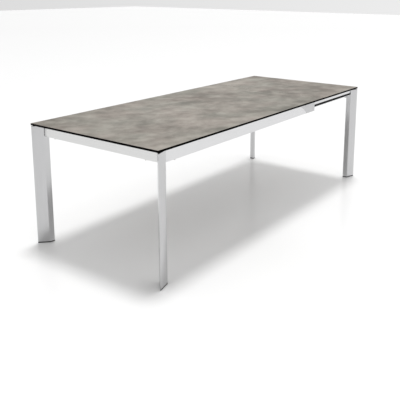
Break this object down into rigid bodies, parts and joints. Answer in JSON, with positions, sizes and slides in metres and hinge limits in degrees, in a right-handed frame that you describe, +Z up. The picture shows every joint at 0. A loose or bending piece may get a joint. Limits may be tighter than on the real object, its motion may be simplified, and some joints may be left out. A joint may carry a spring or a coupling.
{
  "type": "extendable dining table",
  "caption": "Rectangular extendable dining table with a thin laminate top, angular aluminium legs, a sliding end frame on rails and a lift-out leaf.",
  "frame": {"origin": "on the floor under the middle of the open table", "axes": "+X along the length towards the sliding end, +Y across the width, +Z up"},
  "size_m": [2.4, 1, 0.75],
  "materials": {
    "compact_laminate": "matt concrete-effect decor on a black core",
    "polished_aluminium": "polished extrusion",
    "satin_aluminium": "satin casting",
    "black_nylon": "moulded, fine matt texture",
    "rubber": "matt",
    "zinc_steel": "zinc plated"
  },
  "bodies": {
    "fixed_frame": {"apron_fixed": "polished_aluminium", "closed_stops": "rubber", "corner_bolts_fixed": "zinc_steel", "corner_bracket_fixed_back": "satin_aluminium", "corner_bracket_fixed_front": "satin_aluminium", "cross_bar_end": "polished_aluminium", "cross_bar_mid": "polished_aluminium", "cross_bar_screws": "zinc_steel", "fixed_rail_back": "polished_aluminium", "fixed_rail_front": "polished_aluminium", "foot_fixed_back": "black_nylon", "foot_fixed_front": "black_nylon", "guide_roller_pins": "zinc_steel", "latch_screws": "zinc_steel", "leaf_runner_back": "polished_aluminium", "leaf_runner_front": "polished_aluminium", "leaf_stop": "black_nylon", "leg_cap_fixed_back": "black_nylon", "leg_cap_fixed_front": "black_nylon", "leg_fixed_back": "polished_aluminium", "leg_fixed_front": "polished_aluminium", "main_top": "compact_laminate", "nut_block_fixed_back": "zinc_steel", "nut_block_fixed_front": "zinc_steel", "open_bumpers": "rubber", "rail_end_back": "satin_aluminium", "rail_end_front": "satin_aluminium", "top_screws": "zinc_steel"},
    "end_frame": {"apron_moving": "polished_aluminium", "corner_bolts_moving": "zinc_steel", "corner_bracket_moving_back": "satin_aluminium", "corner_bracket_moving_front": "satin_aluminium", "foot_moving_back": "black_nylon", "foot_moving_front": "black_nylon", "leg_cap_moving_back": "black_nylon", "leg_cap_moving_front": "black_nylon", "leg_moving_back": "polished_aluminium", "leg_moving_front": "polished_aluminium", "nut_block_moving_back": "zinc_steel", "nut_block_moving_front": "zinc_steel", "slide_strip_back": "black_nylon", "slide_strip_front": "black_nylon", "sliding_rail_back": "polished_aluminium", "sliding_rail_front": "polished_aluminium", "tail_fork_back": "zinc_steel", "tail_fork_front": "zinc_steel", "tail_roller_pins": "zinc_steel", "tie_bar": "polished_aluminium"},
    "leaf": {"extension_leaf": "compact_laminate"},
    "guide_wheel_front": {"guide_roller_front": "black_nylon"},
    "guide_wheel_back": {"guide_roller_back": "black_nylon"},
    "tail_wheel_front": {"tail_roller_front": "black_nylon"},
    "tail_wheel_back": {"tail_roller_back": "black_nylon"},
    "latch_front": {"turn_latch_front": "zinc_steel"},
    "latch_back": {"turn_latch_back": "zinc_steel"}
  },
  "joints": [
    {"name": "end_frame_slide", "type": "slide", "parent": "fixed_frame", "child": "end_frame", "axis": [1, 0, 0], "range_m": [-0.6, 0]},
    {"name": "leaf_lift", "type": "slide", "parent": "fixed_frame", "child": "leaf", "axis": [0, 0, 1], "range_m": [0, 0.3]},
    {"name": "guide_wheel_front_turn", "type": "hinge", "parent": "fixed_frame", "child": "guide_wheel_front", "pos_m": [0.466, -0.458, 0.67925], "axis": [0, 1, 0], "range_deg": [-3638.8, 1]},
    {"name": "guide_wheel_back_turn", "type": "hinge", "parent": "fixed_frame", "child": "guide_wheel_back", "pos_m": [0.466, 0.458, 0.67925], "axis": [0, 1, 0], "range_deg": [-3638.8, 1]},
    {"name": "tail_wheel_front_turn", "type": "hinge", "parent": "end_frame", "child": "tail_wheel_front", "pos_m": [0.004, -0.458, 0.67925], "axis": [0, 1, 0], "range_deg": [-3638.8, 1]},
    {"name": "tail_wheel_back_turn", "type": "hinge", "parent": "end_frame", "child": "tail_wheel_back", "pos_m": [0.004, 0.458, 0.67925], "axis": [0, 1, 0], "range_deg": [-3638.8, 1]},
    {"name": "latch_front_turn", "type": "hinge", "parent": "fixed_frame", "child": "latch_front", "pos_m": [0.575, -0.36, 0.7355], "axis": [0, 0, 1], "range_deg": [0, 90]},
    {"name": "latch_back_turn", "type": "hinge", "parent": "fixed_frame", "child": "latch_back", "pos_m": [0.575, 0.36, 0.7355], "axis": [0, 0, 1], "range_deg": [0, 90]}
  ],
  "couplings": [
    {"joint": "guide_wheel_front_turn", "follows": "end_frame_slide", "rad_per_m": 105.82},
    {"joint": "guide_wheel_back_turn", "follows": "end_frame_slide", "rad_per_m": 105.82},
    {"joint": "tail_wheel_front_turn", "follows": "end_frame_slide", "rad_per_m": 105.82},
    {"joint": "tail_wheel_back_turn", "follows": "end_frame_slide", "rad_per_m": 105.82}
  ]
}
